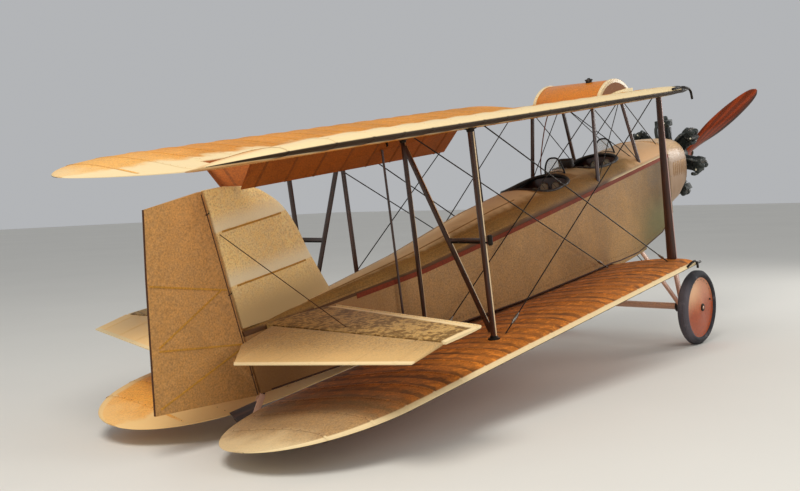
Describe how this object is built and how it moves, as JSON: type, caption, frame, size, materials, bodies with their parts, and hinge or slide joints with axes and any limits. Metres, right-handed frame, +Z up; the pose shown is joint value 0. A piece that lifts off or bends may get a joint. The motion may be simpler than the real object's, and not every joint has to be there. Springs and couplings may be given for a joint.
{
  "type": "light two-seat biplane with folding wings",
  "caption": "Fabric-covered touring biplane parked on its wheels and tail skid, its wing cells folded back beside the fuselage, with an open radial engine and open cockpits.",
  "frame": {"origin": "on the ground under the middle of the parked aeroplane's outline", "axes": "+X forward along the ground, +Y to the aeroplane's left, +Z up"},
  "size_m": [6.964, 2.82, 2.4003],
  "materials": {
    "wing_fabric": "doped fabric, satin",
    "body_fabric": "doped fabric, satin",
    "deck_fabric": "doped fabric, satin",
    "tail_fabric": "doped fabric, satin",
    "aileron_fabric": "doped fabric, satin",
    "cowl_metal": "satin paint",
    "tank_metal": "satin paint",
    "dark_wood": "varnished",
    "pale_strut": "satin paint",
    "engine_metal": "dark enamel",
    "propeller_wood": "varnished",
    "wire": "dull steel",
    "tyre": "matt rubber",
    "wheel_disc": "satin paint",
    "leather": "worn",
    "screen": "clear",
    "steel": "dull steel"
  },
  "bodies": {
    "airframe": {"fuselage": "body_fabric", "fuselage_deck": "deck_fabric", "nose_cowl": "cowl_metal", "front_seat": "leather", "rear_seat": "leather", "front_windscreen": "screen", "rear_windscreen": "screen", "lower_centre_section": "body_fabric", "upper_centre_section": "wing_fabric", "fuel_tank": "tank_metal", "rear_cabane_strut_left": "dark_wood", "front_cabane_strut_left": "dark_wood", "rear_cabane_strut_right": "dark_wood", "front_cabane_strut_right": "dark_wood", "engine": "engine_metal", "fin": "tail_fabric", "tailplane_left": "tail_fabric", "tailplane_right": "tail_fabric", "axle": "pale_strut", "front_leg_left": "pale_strut", "rear_leg_left": "pale_strut", "front_leg_right": "pale_strut", "rear_leg_right": "pale_strut", "tail_skid": "dark_wood"},
    "airscrew": {"propeller": "propeller_wood", "propeller_hub": "steel"},
    "rudder_body": {"rudder": "tail_fabric"},
    "elevators": {"elevator_left": "tail_fabric", "elevator_right": "tail_fabric"},
    "left_wheel": {"tyre_left": "tyre", "wheel_left": "wheel_disc"},
    "right_wheel": {"tyre_right": "tyre", "wheel_right": "wheel_disc"},
    "left_wings": {"lower_wing_left": "wing_fabric", "upper_wing_left": "wing_fabric", "interplane_struts_left": "dark_wood", "jury_strut_left": "dark_wood", "front_flying_stay_left": "wire", "front_landing_stay_left": "wire", "rear_flying_stay_left": "wire", "rear_landing_stay_left": "wire", "aileron_rod_left": "dark_wood"},
    "right_wings": {"lower_wing_right": "wing_fabric", "upper_wing_right": "wing_fabric", "interplane_struts_right": "dark_wood", "jury_strut_right": "dark_wood", "front_flying_stay_right": "wire", "front_landing_stay_right": "wire", "rear_flying_stay_right": "wire", "rear_landing_stay_right": "wire", "aileron_rod_right": "dark_wood"},
    "left_aileron": {"aileron_left": "aileron_fabric"},
    "right_aileron": {"aileron_right": "aileron_fabric"}
  },
  "joints": [
    {"name": "propeller_spin", "type": "hinge", "parent": "airframe", "child": "airscrew", "pos_m": [3.37826, 0, 1.76682], "axis": [0.9901, 0, 0.1405], "continuous": true},
    {"name": "left_wheel_spin", "type": "hinge", "parent": "airframe", "child": "left_wheel", "pos_m": [1.90043, 0.77, 0.33], "axis": [0, 1, 0], "continuous": true},
    {"name": "right_wheel_spin", "type": "hinge", "parent": "airframe", "child": "right_wheel", "pos_m": [1.90043, -0.77, 0.33], "axis": [0, 1, 0], "continuous": true},
    {"name": "left_wing_fold", "type": "hinge", "parent": "airframe", "child": "left_wings", "pos_m": [1.12306, 0.36, 0.79037], "axis": [0.1405, 0, -0.9901], "range_deg": [0, 90]},
    {"name": "right_wing_fold", "type": "hinge", "parent": "airframe", "child": "right_wings", "pos_m": [1.12306, -0.36, 0.79037], "axis": [-0.1405, 0, 0.9901], "range_deg": [0, 90]},
    {"name": "left_aileron_hinge", "type": "hinge", "parent": "left_wings", "child": "left_aileron", "pos_m": [0.93444, 0.225, 2.1115], "axis": [-0.9925, 0, -0.1226], "range_deg": [0, 67]},
    {"name": "right_aileron_hinge", "type": "hinge", "parent": "right_wings", "child": "right_aileron", "pos_m": [0.93444, -0.225, 2.1115], "axis": [0.9925, 0, 0.1226], "range_deg": [0, 67]},
    {"name": "rudder_hinge", "type": "hinge", "parent": "airframe", "child": "rudder_body", "pos_m": [-2.63291, 0, 0.24742], "axis": [-0.2843, 0, 0.9587], "range_deg": [-30, 30]},
    {"name": "elevator_hinge", "type": "hinge", "parent": "airframe", "child": "elevators", "pos_m": [-2.5843, 0, 0.65226], "axis": [0, 1, 0], "range_deg": [-18, 33]}
  ]
}
